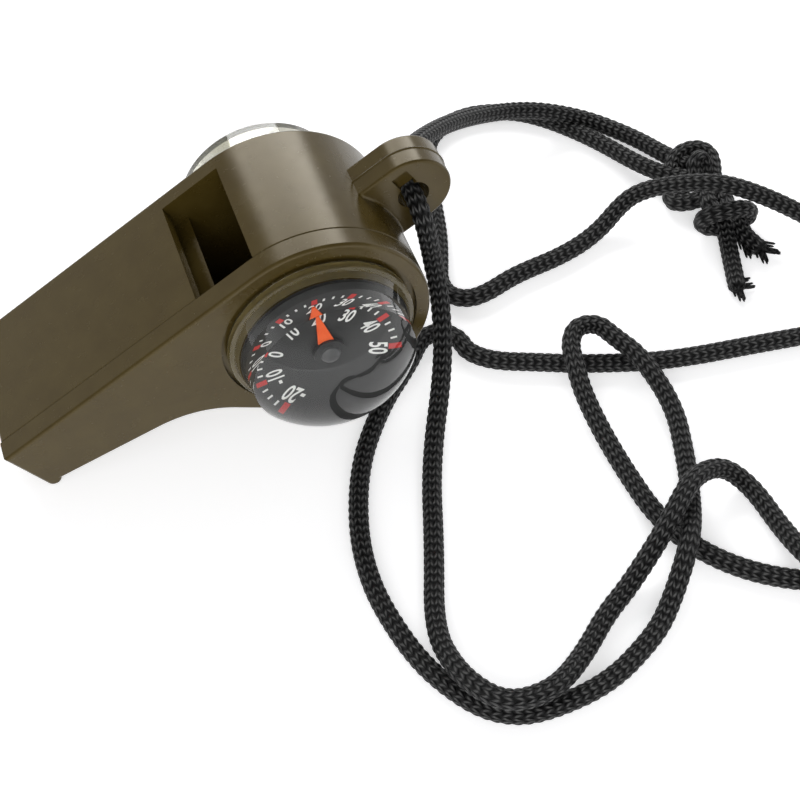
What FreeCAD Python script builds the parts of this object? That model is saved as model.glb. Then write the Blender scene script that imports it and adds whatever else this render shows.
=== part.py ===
# Survival whistle: a moulded pea-type whistle with a dial thermometer under a clear dome on one
# side, a floating-card compass under a clear dome on the other, and a doubled neck cord that
# runs from the hole in its lug over the ground to an overhand knot with two short tails.
#
# Whistle frame: origin on the drum's axis at mid width, X from the mouthpiece to the lug, Y from
# the thermometer side to the compass side, Z square to the flat top. The part's own frame has
# its origin on the ground below the drum's axis: the whistle stands in it on the bottom of its
# drum and on the lip of its mouthpiece, nose down.
import FreeCAD, Part
import math
import os
import Sketcher

# Driving sizes, millimetres and degrees
SIZES = {
    "drum_radius": 14.4,
    "half_width": 10.5,
    "tip_reach": 39.05,
    "lip_radius": 0.95,
    "lip_height": 6.25,
    "lip_rise": 0.4,
    "underside_angle": 12.7,
    "neck_angle": 56.0,
    "throat_radius": 13.0,
    "shell_wall": 1.9,
    "far_wall": 2.2,
    "cover_thickness": 3.0,
    "edge_round": 0.45,
    "joint_bevel": 0.12,
    "roof_wall": 1.6,
    "windway_gap": 2.1,
    "window_front": 7.8,
    "window_rear": 0.86,
    "labium_edge": 0.1,
    "labium_run": 2.6,
    "cut_margin": 1.0,
    "lug_sink": 2.4,
    "lug_reach": 3.75,
    "lug_height": 0.3,
    "lug_radius": 5.2,
    "lug_near": 1.2,
    "lug_far": 3.8,
    "lug_round": 0.35,
    "hole_radius": 2.05,
    "hole_height": 0.1,
    "core_front": 0.75,
    "core_rear": 1.5,
    "core_foot": 1.6,
    "core_top": 4.1,
    "core_depth": 3.6,
    "dome_margin": 2.55,
    "groove_inside": 0.35,
    "groove_outside": 0.7,
    "groove_depth": 0.7,
    "shoulder_draft": 1.05,
    "crease_draft": 1.85,
    "shoulder_rise": 3.4,
    "crease_rise": 6.3,
    "apex_rise": 11.5,
    "foot_width": 1.5,
    "seat_gap": 0.1,
    "lens_lip": 0.95,
    "lens_headroom": 1.1,
    "boss_fit": 0.15,
    "boss_wall": 1.0,
    "boss_rise": 1.6,
    "case_depth": 1.2,
    "bearing_gap": 0.06,
    "bearing_depth": 1.2,
    "dial_fit": 0.25,
    "dial_sheet": 0.4,
    "dial_bore": 1.0,
    "arbor_radius": 0.5,
    "arbor_foot": 2.2,
    "arbor_stub": 0.25,
    "pointer_gap": 0.1,
    "pointer_sheet": 0.2,
    "pointer_hub": 1.5,
    "hub_thickness": 0.45,
    "pointer_reach": 5.3,
    "pointer_root": 0.85,
    "pointer_tip": 0.15,
    "fit_gap": 0.03,
    "reading_angle": 68.0,
    "coil_inner": 0.66,
    "coil_pitch": 0.96,
    "coil_strip": 0.25,
    "coil_foot": 0.9,
    "coil_width": 1.9,
    "anchor_grip": 0.15,
    "anchor_radius": 0.4,
    "anchor_height": 2.2,
    "well_depth": 0.9,
    "base_inset": 1.25,
    "base_sheet": 1.0,
    "shell_shoulder": 1.05,
    "shell_crease": 1.3,
    "shell_crease_drop": 0.2,
    "shell_crown": 1.4,
    "pivot_radius": 0.45,
    "pivot_neck": 2.6,
    "pivot_tip": 3.35,
    "card_inset": 2.05,
    "card_rise": 3.3,
    "card_sheet": 0.4,
    "jewel_radius": 0.9,
    "jewel_foot": 2.9,
    "jewel_rise": 4.1,
    "socket_radius": 0.55,
    "socket_top": 3.5,
    "magnet_length": 12.0,
    "magnet_width": 2.6,
    "magnet_sheet": 0.8,
    "north_angle": 35.0,
    "cord_radius": 1.2,
    "tail_radius": 1.2,
    "knot_radius": 2.9,
    "knot_waist": 2.5,
    "knot_end": 1.6,
    "knot_bevel": 1.6,
    "knot_lobe": 5.2,
    "knot_neck": 1.9,
}
COIL_TURNS = 4
CORNER_SHARE = 0.45
WELDED = 1e-4
OPPOSITE = {"+": "-", "-": "+"}

# Sizes that follow from others: the dome's rings step in from the drum's rim, and what the dome
# covers steps in from its bore
DOME_FOOT = "drum_radius - dome_margin"
DOME_SHOULDER = DOME_FOOT + " - shoulder_draft"
DOME_CREASE = DOME_FOOT + " - crease_draft"
DOME_BORE = DOME_FOOT + " - foot_width"
GROOVE_INNER = DOME_FOOT + " - groove_inside"
GROOVE_OUTER = DOME_FOOT + " + groove_outside"
BOSS_OUTER = DOME_BORE + " - boss_fit"
LENS_SEAT = "boss_rise + dial_sheet + seat_gap"
LENS_POCKET = DOME_BORE + " - lens_lip"
LENS_FLOOR = LENS_SEAT + " + lens_headroom"
POINTER_RISE = "boss_rise + dial_sheet + pointer_gap"
COIL_END = "coil_inner" + " + coil_pitch" * COIL_TURNS
BASE_RADIUS = DOME_BORE + " - base_inset"
LUG_CENTRE = "drum_radius + lug_reach"
LUG_ROOT = "drum_radius - lug_sink"
WINDWAY_ROOF = "drum_radius - roof_wall"
WINDWAY_FLOOR = WINDWAY_ROOF + " - windway_gap"

# Neck cord, long side: centre line from the middle of the lug's hole down the near side, out
# over the ground in two lying loops and back behind the lug to the knot
LONG_ROUTE = [
    (15.9, 1.3, 22.9), (16.0, -1.4, 23.3), (15.3, -3.8, 21.7), (15.5, -4.8, 19.3),
    (16.6, -5.1, 15.3), (16.7, -7.6, 10.4), (14.7, -13.9, 5.1), (8.6, -25.3, 1.3),
    (4.7, -37.3, 1.2), (0.7, -48.0, 2.0), (1.0, -54.4, 3.6), (2.8, -58.4, 4.1),
    (4.7, -60.4, 4.3), (7.3, -61.0, 4.1), (11.2, -60.4, 3.7), (16.1, -56.5, 1.5),
    (20.3, -52.7, 1.2), (24.6, -50.1, 1.4), (30.7, -46.4, 5.4), (35.5, -42.0, 6.0),
    (39.2, -40.1, 4.3), (41.7, -40.0, 2.9), (43.5, -41.6, 1.5), (44.3, -44.3, 1.2),
    (44.6, -48.6, 1.3), (44.6, -53.4, 2.9), (45.2, -58.8, 4.8), (45.9, -66.0, 2.7),
    (48.6, -71.6, 1.3), (53.9, -75.1, 1.2), (58.2, -75.1, 1.2), (61.5, -73.1, 1.2),
    (63.1, -70.7, 1.2), (62.8, -68.1, 1.2), (60.9, -65.4, 1.2), (56.6, -63.0, 1.2),
    (49.4, -59.5, 1.2), (38.3, -54.0, 1.2), (31.7, -44.9, 1.2), (30.5, -32.7, 1.2),
    (30.0, -24.1, 2.8), (30.6, -19.0, 3.9), (31.4, -15.6, 4.0), (33.2, -13.4, 4.1),
    (36.1, -13.9, 4.0), (37.2, -16.8, 3.9), (39.0, -20.8, 3.9), (40.3, -28.5, 2.1),
    (38.5, -35.7, 1.2), (37.0, -40.0, 1.5), (33.9, -46.6, 4.2), (31.5, -50.2, 4.3),
    (27.3, -54.8, 1.5), (24.0, -57.5, 1.2), (17.0, -61.1, 1.2), (8.4, -61.8, 1.2),
    (4.1, -60.3, 1.2), (0.8, -56.8, 1.2), (-2.7, -49.6, 1.2), (-4.4, -36.8, 1.2),
    (-0.6, -23.6, 1.2), (5.6, -14.6, 1.2), (11.6, -9.1, 1.2), (14.4, -5.6, 1.2),
    (17.2, -5.4, 1.2), (19.1, -7.4, 1.2), (19.3, -10.1, 1.2), (22.0, -12.8, 1.2),
    (26.9, -14.9, 1.2), (32.4, -17.4, 1.2), (42.9, -21.0, 1.2), (56.4, -22.8, 1.2),
    (66.5, -24.4, 1.2), (72.6, -23.7, 1.2), (76.5, -20.5, 1.3), (78.2, -17.4, 1.4),
    (78.1, -14.9, 1.4), (76.3, -12.0, 1.7), (73.0, -8.2, 2.0), (66.4, -3.1, 5.4),
    (59.6, -0.3, 8.6), (54.2, 2.9, 7.1), (50.8, 5.2, 4.8), (48.2, 5.4, 3.3),
    (43.6, 3.1, 1.4), (37.8, 1.1, 1.2), (30.1, 0.1, 1.3), (25.6, -1.5, 1.3),
    (22.6, -1.6, 1.2), (20.4, 0.1, 1.2), (20.2, 3.0, 1.2), (21.6, 6.5, 1.2),
    (23.4, 11.8, 1.2), (25.4, 21.5, 1.3), (27.3, 28.4, 1.3), (29.9, 31.7, 1.2),
    (34.5, 33.6, 1.2), (38.5, 33.2, 1.2), (44.0, 29.9, 1.2), (50.1, 21.5, 1.2),
    (54.5, 11.6, 2.1), (57.4, 8.0, 2.6), (60.3, 5.6, 2.9),
]

# Neck cord, short side: from the middle of the lug's hole down the far side to the knot
SHORT_ROUTE = [
    (15.9, 1.3, 22.9), (15.8, 6.7, 23.1), (17.3, 9.7, 22.4), (19.9, 13.9, 19.4),
    (25.5, 19.7, 13.2), (33.4, 25.5, 8.2), (37.7, 28.6, 5.5), (41.7, 29.8, 4.7),
    (46.7, 29.4, 3.8), (50.9, 26.6, 1.7), (53.4, 23.8, 1.2), (56.6, 18.8, 1.2),
    (58.1, 13.4, 2.1), (59.4, 10.0, 2.8), (61.4, 7.2, 2.9),
]

# Tails that come out of the knot and end cut off
TAIL_ROUTES = [
    [(59.9, -0.6, 2.4), (59.2, -3.9, 1.3), (58.1, -8.6, 1.2), (56.7, -13.5, 1.2)],
    [(62.5, -0.6, 2.4), (62.1, -3.2, 1.3), (62.4, -5.6, 1.2), (63.8, -7.9, 1.2)],
]

# Two ends of the knot's own axis, which lies along the ground
KNOT_AXIS = [(62.0, 12.0, 2.9), (60.5, -3.3, 2.9)]

doc = FreeCAD.newDocument("survival_whistle")
sheet = doc.addObject("Spreadsheet::Sheet", "Sizes")
for row, (alias, value) in enumerate(SIZES.items(), start=1):
    sheet.set("A%d" % row, alias)
    sheet.set("B%d" % row, str(value))
    sheet.setAlias("B%d" % row, alias)
doc.recompute()

nodes = []


def size(alias):
    """Value of one size in the sheet"""
    return float(sheet.get(alias))


def measure(text):
    """Value and expression of a sum of sizes such as "drum_radius - shell_wall" """
    total = 0.0
    sign = 1.0
    words = []
    for word in text.split():
        if word in ("+", "-"):
            sign = 1.0 if word == "+" else -1.0
            words.append(word)
        else:
            total += sign * size(word)
            words.append("Sizes." + word)
            sign = 1.0
    return total, " ".join(words)


def standing_placement():
    """Pose in which the whistle stands on its drum and on the lip of its mouthpiece"""
    reach = size("tip_reach") - size("lip_radius")
    span = math.hypot(reach, size("lip_height"))
    lean = math.atan2(size("lip_height"), reach)
    pitch = lean + math.asin((size("drum_radius") - size("lip_radius")) / span)
    turn = FreeCAD.Rotation(FreeCAD.Vector(0, 1, 0), -math.degrees(pitch))
    return FreeCAD.Placement(FreeCAD.Vector(0, 0, size("drum_radius")), turn)


STANDING = standing_placement()


def new_body(label, turned_by=0.0):
    """Body of one piece, turned about the drum's axis by an angle in degrees"""
    body = doc.addObject("PartDesign::Body", label)
    body.Label = label
    turn = FreeCAD.Placement(FreeCAD.Vector(), FreeCAD.Rotation(FreeCAD.Vector(0, 1, 0), -turned_by))
    body.Placement = STANDING.multiply(turn)
    nodes.append(body)
    return body


def new_sketch(body, name, role, height=None):
    """Sketch on one of the body's origin planes, moved along its normal by a sum of sizes"""
    sketch = body.newObject("Sketcher::SketchObject", name)
    plane = [item for item in body.Origin.OriginFeatures if item.Role == role][0]
    sketch.AttachmentSupport = [(plane, "")]
    sketch.MapMode = "FlatFace"
    if height:
        sketch.setExpression("AttachmentOffset.Base.z", measure(height)[1])
    return sketch


def bind(sketch, name, constraint, expression):
    """Named constraint that takes its value from the sheet"""
    index = sketch.addConstraint(constraint)
    sketch.renameConstraint(index, name)
    sketch.setExpression("Constraints." + name, expression)


def pin_point(sketch, name, item, end, across, up):
    """Hold a point at sums of sizes from the sketch's origin, or on an axis where a sum is None"""
    if across is None:
        sketch.addConstraint(Sketcher.Constraint("PointOnObject", item, end, -2))
    else:
        value, expression = measure(across)
        bind(sketch, name + "_across", Sketcher.Constraint("DistanceX", -1, 1, item, end, value), expression)
    value, expression = measure(up)
    bind(sketch, name + "_up", Sketcher.Constraint("DistanceY", -1, 1, item, end, value), expression)


def point_of(corner):
    """Sketch point of a corner given as two sums of sizes"""
    across = 0.0 if corner[0] is None else measure(corner[0])[0]
    return FreeCAD.Vector(across, measure(corner[1])[0], 0)


def polygon(sketch, corners, caps=()):
    """Closed outline through the corners; a side listed in caps is an arc centred on the V axis"""
    points = [point_of(corner) for corner in corners]
    first = sketch.GeometryCount
    ends = []
    for index, start in enumerate(points):
        stop = points[(index + 1) % len(points)]
        if index not in caps:
            item = sketch.addGeometry(Part.LineSegment(start, stop), False)
            ends.append((item, 1, 2))
            continue
        apex, rim = (stop, start) if stop.x == 0 else (start, stop)
        rise = apex.y - rim.y
        radius = (rim.x ** 2 + rise ** 2) / (2 * rise)
        centre = FreeCAD.Vector(0, apex.y - radius, 0)
        angles = [math.atan2(p.y - centre.y, p.x) for p in (start, stop)]
        low, high = min(angles), max(angles)
        whole = Part.Circle(centre, FreeCAD.Vector(0, 0, 1), abs(radius))
        item = sketch.addGeometry(Part.ArcOfCircle(whole, low, high), False)
        ends.append((item, 1, 2) if angles[0] < angles[1] else (item, 2, 1))
        sketch.addConstraint(Sketcher.Constraint("PointOnObject", item, 3, -2))
    for index, (item, start, stop) in enumerate(ends):
        following = ends[(index + 1) % len(ends)]
        sketch.addConstraint(Sketcher.Constraint("Coincident", item, stop, following[0], following[1]))
        pin_point(sketch, "corner_%d_%d" % (first, index), item, start, *corners[index])


def circle(sketch, name, radius, across=None, up=None):
    """Circle of a given size, centred on the origin or at sums of sizes from it"""
    centre = FreeCAD.Vector()
    if across:
        centre = FreeCAD.Vector(measure(across)[0], measure(up)[0], 0)
    value, expression = measure(radius)
    item = sketch.addGeometry(Part.Circle(centre, FreeCAD.Vector(0, 0, 1), value), False)
    bind(sketch, name + "_radius", Sketcher.Constraint("Radius", item, value), expression)
    if across:
        pin_point(sketch, name, item, 3, across, up)
    else:
        sketch.addConstraint(Sketcher.Constraint("Coincident", item, 3, -1, 1))


def pad(body, sketch, name, length):
    """Pad along the sketch's normal"""
    feature = body.newObject("PartDesign::Pad", name)
    feature.Profile = sketch
    feature.setExpression("Length", measure(length)[1])
    doc.recompute()
    return feature


def pocket(body, sketch, name, depth, outward=False):
    """Pocket against the sketch's normal, or along it"""
    feature = body.newObject("PartDesign::Pocket", name)
    before = body.Shape.Volume
    feature.Profile = sketch
    feature.Reversed = outward
    feature.setExpression("Length", measure(depth)[1])
    doc.recompute()
    if body.Shape.Volume >= before:
        raise RuntimeError(name + " cuts nothing")
    return feature


def revolve(body, sketch, name):
    """Full turn of a profile about the drum's axis"""
    feature = body.newObject("PartDesign::Revolution", name)
    feature.Profile = sketch
    feature.ReferenceAxis = (sketch, ["V_Axis"])
    feature.Angle = 360.0
    doc.recompute()
    return feature


def edges_where(body, test):
    """Names of the body's edges whose every vertex and middle pass a test"""
    names = []
    local = body.Tip.Shape
    for index, edge in enumerate(local.Edges, start=1):
        middle = edge.valueAt((edge.FirstParameter + edge.LastParameter) / 2)
        points = [vertex.Point for vertex in edge.Vertexes] + [middle]
        if all(test(point) for point in points):
            names.append("Edge%d" % index)
    return names


def dress(body, kind, name, edges, expression):
    """Fillet or chamfer on the named edges of the body's last feature"""
    base = body.Tip
    feature = body.newObject("PartDesign::" + kind, name)
    feature.Base = (base, edges)
    feature.setExpression("Radius" if kind == "Fillet" else "Size", "Sizes." + expression)
    doc.recompute()
    return feature


def whistle_outline(sketch):
    """Side view of the whistle: round drum, flat top, mouthpiece with a lip, and throat"""
    radius = size("drum_radius")
    lip = size("lip_radius")
    tip = -size("tip_reach")
    underside = math.radians(size("underside_angle"))
    neck = math.radians(size("neck_angle"))
    throat = size("throat_radius")
    origin = FreeCAD.Vector()
    axis = FreeCAD.Vector(0, 0, 1)
    lip_centre = FreeCAD.Vector(tip + lip, size("lip_height"), 0)
    lip_foot = lip_centre + FreeCAD.Vector(math.sqrt(lip ** 2 - size("lip_rise") ** 2), -size("lip_rise"), 0)
    along = FreeCAD.Vector(math.cos(underside), -math.sin(underside), 0)
    down = FreeCAD.Vector(math.cos(neck), -math.sin(neck), 0)
    touch = FreeCAD.Vector(-math.sin(neck), -math.cos(neck), 0) * radius
    gap = touch - lip_foot
    run = (gap.x * down.y - gap.y * down.x) / (along.x * down.y - along.y * down.x)
    corner = lip_foot + along * run
    setback = throat * math.tan((neck - underside) / 2)
    throat_front = corner - along * setback
    throat_rear = corner + down * setback
    throat_centre = throat_front - FreeCAD.Vector(math.sin(underside), math.cos(underside), 0) * throat
    top_front = FreeCAD.Vector(tip, radius, 0)
    top_rear = FreeCAD.Vector(0, radius, 0)
    lip_front = FreeCAD.Vector(tip, lip_centre.y, 0)
    foot_angle = math.atan2(lip_foot.y - lip_centre.y, lip_foot.x - lip_centre.x) + 2 * math.pi
    drum_arc = Part.ArcOfCircle(Part.Circle(origin, axis, radius), -math.pi / 2 - neck, math.pi / 2)
    throat_circle = Part.Circle(throat_centre, axis, throat)
    throat_arc = Part.ArcOfCircle(throat_circle, math.pi / 2 - neck, math.pi / 2 - underside)
    lip_arc = Part.ArcOfCircle(Part.Circle(lip_centre, axis, lip), math.pi, foot_angle)
    for item in (Part.LineSegment(top_front, top_rear), drum_arc, Part.LineSegment(touch, throat_rear),
                 throat_arc, Part.LineSegment(throat_front, lip_foot), lip_arc,
                 Part.LineSegment(lip_front, top_front)):
        sketch.addGeometry(item, False)
    top, drum, neck_line, bend, base_line, bead, front = range(7)
    for rule in (("Tangent", top, 2, drum, 2), ("Tangent", drum, 1, neck_line, 1),
                 ("Tangent", neck_line, 2, bend, 1), ("Tangent", bend, 2, base_line, 1),
                 ("Coincident", base_line, 2, bead, 2), ("Tangent", bead, 1, front, 1),
                 ("Coincident", front, 2, top, 1), ("Coincident", drum, 3, -1, 1),
                 ("Horizontal", top), ("Vertical", front)):
        sketch.addConstraint(Sketcher.Constraint(*rule))
    bind(sketch, "drum", Sketcher.Constraint("Radius", drum, radius), "Sizes.drum_radius")
    bind(sketch, "throat", Sketcher.Constraint("Radius", bend, throat), "Sizes.throat_radius")
    bind(sketch, "lip", Sketcher.Constraint("Radius", bead, lip), "Sizes.lip_radius")
    reach = Sketcher.Constraint("DistanceX", front, 1, -1, 1, size("tip_reach"))
    bind(sketch, "reach", reach, "Sizes.tip_reach")
    height = Sketcher.Constraint("DistanceY", -1, 1, bead, 3, size("lip_height"))
    bind(sketch, "lip_up", height, "Sizes.lip_height")
    rise = Sketcher.Constraint("DistanceY", bead, 2, bead, 3, size("lip_rise"))
    bind(sketch, "lip_under", rise, "Sizes.lip_rise")
    slope = Sketcher.Constraint("Angle", base_line, math.pi - underside)
    bind(sketch, "slope", slope, "180 - Sizes.underside_angle")
    fall = Sketcher.Constraint("Angle", neck_line, math.pi - neck)
    bind(sketch, "fall", fall, "180 - Sizes.neck_angle")


def outer_edges(body, side, level):
    """Outline edges of the face at a level along Y, on the near (-1) or far (+1) side"""
    return edges_where(body, lambda p: abs(p.y - side * level) < WELDED)


def make_whistle_body():
    """Moulded drum, mouthpiece and lug, open on the near side where the cover closes it"""
    body = new_body("whistle_body")
    width = size("half_width")
    joint = width - size("cover_thickness")
    outline = new_sketch(body, "body_outline", "XZ_Plane", "- half_width")
    whistle_outline(outline)
    pad(body, outline, "body_block", "half_width + half_width - cover_thickness")
    tip = -size("tip_reach")
    top = size("drum_radius")
    rounded = outer_edges(body, 1, width)
    rounded += edges_where(body, lambda p: abs(p.x - tip) < WELDED and abs(p.z - top) < WELDED)
    dress(body, "Fillet", "body_round", rounded, "edge_round")
    dress(body, "Chamfer", "body_bevel", outer_edges(body, -1, joint), "joint_bevel")

    lug = new_sketch(body, "lug_outline", "XZ_Plane", "- lug_far")
    high = measure("lug_height + lug_radius")[0]
    low = measure("lug_height - lug_radius")[0]
    root = measure(LUG_ROOT)[0]
    centre = FreeCAD.Vector(measure(LUG_CENTRE)[0], size("lug_height"), 0)
    end = Part.Circle(centre, FreeCAD.Vector(0, 0, 1), size("lug_radius"))
    corners = [FreeCAD.Vector(root, low, 0), FreeCAD.Vector(centre.x, low, 0),
               FreeCAD.Vector(centre.x, high, 0), FreeCAD.Vector(root, high, 0)]
    lug.addGeometry(Part.LineSegment(corners[0], corners[1]), False)
    lug.addGeometry(Part.ArcOfCircle(end, -math.pi / 2, math.pi / 2), False)
    lug.addGeometry(Part.LineSegment(corners[2], corners[3]), False)
    lug.addGeometry(Part.LineSegment(corners[3], corners[0]), False)
    for rule in (("Tangent", 0, 2, 1, 1), ("Tangent", 1, 2, 2, 1), ("Coincident", 2, 2, 3, 1),
                 ("Coincident", 3, 2, 0, 1), ("Horizontal", 0), ("Vertical", 3)):
        lug.addConstraint(Sketcher.Constraint(*rule))
    bind(lug, "end", Sketcher.Constraint("Radius", 1, size("lug_radius")), "Sizes.lug_radius")
    pin_point(lug, "centre", 1, 3, LUG_CENTRE, "lug_height")
    bind(lug, "root", Sketcher.Constraint("DistanceX", -1, 1, 3, 1, root), measure(LUG_ROOT)[1])
    pad(body, lug, "lug_plate", "lug_far + lug_near")
    drum = size("drum_radius")
    lug_edges = []
    for level in (-size("lug_near"), size("lug_far")):
        lug_edges += edges_where(body, lambda p: abs(p.y - level) < WELDED
                                 and math.hypot(p.x, p.z) > drum - WELDED)
    dress(body, "Fillet", "lug_round", lug_edges, "lug_round")

    chamber = new_sketch(body, "chamber_circle", "XZ_Plane", "half_width - cover_thickness")
    circle(chamber, "chamber", "drum_radius - shell_wall")
    inside = "half_width + half_width - cover_thickness - far_wall"
    pocket(body, chamber, "chamber", inside)

    windway = new_sketch(body, "windway_outline", "XZ_Plane", "half_width - cover_thickness")
    mouth, end = "- tip_reach - cut_margin", "- window_front + cut_margin"
    polygon(windway, [
        (mouth, WINDWAY_FLOOR), (end, WINDWAY_FLOOR), (end, WINDWAY_ROOF), (mouth, WINDWAY_ROOF),
    ])
    pocket(body, windway, "windway", inside)

    window = new_sketch(body, "window_outline", "XZ_Plane", "half_width - cover_thickness")
    polygon(window, [
        ("- window_front", WINDWAY_FLOOR), ("window_rear + labium_run", WINDWAY_FLOOR),
        ("window_rear", "drum_radius - labium_edge"), ("window_rear", "drum_radius + cut_margin"),
        ("- window_front", "drum_radius + cut_margin"),
    ])
    pocket(body, window, "window", inside)

    well = new_sketch(body, "compass_well", "XZ_Plane", "- half_width")
    circle(well, "well", BASE_RADIUS + " + seat_gap")
    pocket(body, well, "compass_seat", "well_depth", outward=True)
    groove = new_sketch(body, "far_groove", "XZ_Plane", "- half_width")
    circle(groove, "inner", GROOVE_INNER)
    circle(groove, "outer", GROOVE_OUTER)
    pocket(body, groove, "far_dome_groove", "groove_depth", outward=True)

    eye = new_sketch(body, "cord_hole", "XZ_Plane", "lug_near")
    circle(eye, "eye", "hole_radius", LUG_CENTRE, "- hole_height")
    pocket(body, eye, "cord_eye", "lug_near + lug_far")
    core = new_sketch(body, "core_mark", "XZ_Plane", "lug_near")
    front, rear = LUG_CENTRE + " - core_front", LUG_CENTRE + " + core_rear"
    polygon(core, [(front, "core_foot"), (rear, "core_foot"), (rear, "core_top"), (front, "core_top")])
    pocket(body, core, "core_pocket", "core_depth")
    return body


def make_side_cover():
    """Flat side of the whistle, glued on, with the boss that carries the thermometer"""
    body = new_body("side_cover")
    width = size("half_width")
    joint = width - size("cover_thickness")
    outline = new_sketch(body, "cover_outline", "XZ_Plane", "half_width - cover_thickness")
    whistle_outline(outline)
    pad(body, outline, "cover_plate", "cover_thickness")
    dress(body, "Fillet", "cover_round", outer_edges(body, -1, width), "edge_round")
    dress(body, "Chamfer", "cover_bevel", outer_edges(body, -1, joint), "joint_bevel")
    boss = new_sketch(body, "boss_circle", "XZ_Plane", "half_width")
    circle(boss, "boss", BOSS_OUTER)
    pad(body, boss, "dial_boss", "boss_rise")
    case = new_sketch(body, "case_circle", "XZ_Plane", "half_width + boss_rise")
    circle(case, "case", BOSS_OUTER + " - boss_wall")
    pocket(body, case, "coil_case", "boss_rise + case_depth")
    groove = new_sketch(body, "near_groove", "XZ_Plane", "half_width")
    circle(groove, "inner", GROOVE_INNER)
    circle(groove, "outer", GROOVE_OUTER)
    pocket(body, groove, "near_dome_groove", "groove_depth")
    bearing = new_sketch(body, "bearing_circle", "XZ_Plane", "half_width - case_depth")
    circle(bearing, "bearing", "arbor_radius + bearing_gap")
    pocket(body, bearing, "arbor_bearing", "bearing_depth")
    return body


def turned(label, profile, side, caps=()):
    """Piece turned about the drum's axis: radius and height above one side face per corner"""
    body = new_body(label)
    sketch = new_sketch(body, label + "_profile", "XY_Plane")
    corners = []
    for radius, height in profile:
        joiner = " " if height.startswith("-") else " + "
        level = "half_width" + (joiner + height if height else "")
        if side < 0:
            level = " ".join(OPPOSITE.get(word, word) for word in ("+ " + level).split())
        corners.append((radius, level))
    polygon(sketch, corners, caps)
    revolve(body, sketch, label + "_turn")
    return body


def make_thermometer():
    """Clear dome, dial, pointer on its arbor, and the two-metal coil that turns it"""
    turned("thermometer_dome", [
        (DOME_BORE, ""), (DOME_FOOT, ""), (DOME_SHOULDER, "shoulder_rise"), (DOME_CREASE, "crease_rise"),
        (None, "apex_rise"), (None, LENS_FLOOR), (LENS_POCKET, LENS_FLOOR), (LENS_POCKET, LENS_SEAT),
        (DOME_BORE, LENS_SEAT),
    ], -1, caps=(3,))
    dial_top = "boss_rise + dial_sheet"
    dial_edge = DOME_BORE + " - dial_fit"
    turned("thermometer_dial", [
        ("dial_bore", "boss_rise"), (dial_edge, "boss_rise"), (dial_edge, dial_top), ("dial_bore", dial_top),
    ], -1)
    arbor_top = POINTER_RISE + " + hub_thickness + arbor_stub"
    turned("pointer_arbor", [
        (None, "- arbor_foot"), ("arbor_radius", "- arbor_foot"),
        ("arbor_radius", arbor_top), (None, arbor_top),
    ], -1)

    pointer = new_body("thermometer_pointer", size("reading_angle"))
    hub = new_sketch(pointer, "pointer_hub_circles", "XZ_Plane", "half_width + " + POINTER_RISE)
    circle(hub, "bore", "arbor_radius + fit_gap")
    circle(hub, "hub", "pointer_hub")
    pad(pointer, hub, "pointer_disc", "hub_thickness")
    needle = new_sketch(pointer, "needle_outline", "XZ_Plane", "half_width + " + POINTER_RISE)
    root = "pointer_hub - pointer_root"
    polygon(needle, [
        (root, "- pointer_root"), ("pointer_reach", "- pointer_tip"),
        ("pointer_reach", "pointer_tip"), (root, "pointer_root"),
    ])
    pad(pointer, needle, "pointer_needle", "pointer_sheet")

    anchor = new_body("coil_anchor")
    post = new_sketch(anchor, "anchor_circle", "XZ_Plane", "half_width - case_depth")
    circle(post, "post", "anchor_radius", COIL_END + " + anchor_grip + anchor_radius", "fit_gap")
    pad(anchor, post, "anchor_post", "anchor_height")

    coil = doc.addObject("Part::Feature", "bimetal_coil")
    coil.Label = "bimetal_coil"
    coil.Shape = coil_shape()
    coil.Placement = STANDING
    nodes.append(coil)


def coil_shape():
    """Flat spiral strip of half turns, from the arbor out to its anchor post"""
    step = size("coil_pitch") / 2
    half = size("coil_strip") / 2
    near = -size("half_width") + size("coil_foot")
    axis = FreeCAD.Vector(0, -1, 0)
    strip = None
    for turn in range(2 * COIL_TURNS):
        radius = size("coil_inner") + turn * step
        centre = FreeCAD.Vector((turn % 2) * step, near, 0)
        rear = FreeCAD.Vector(centre.x, centre.y - size("coil_width"), 0)
        ring = Part.makeCylinder(radius + half, size("coil_width"), centre, axis)
        ring = ring.cut(Part.makeCylinder(radius - half, size("coil_width"), centre, axis))
        reach = radius + 2 * half
        corner = FreeCAD.Vector(centre.x - reach, rear.y, 0 if turn % 2 == 0 else -reach)
        ring = ring.common(Part.makeBox(2 * reach, size("coil_width"), reach, corner))
        strip = ring if strip is None else strip.fuse(ring)
    return strip.removeSplitter()


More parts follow.
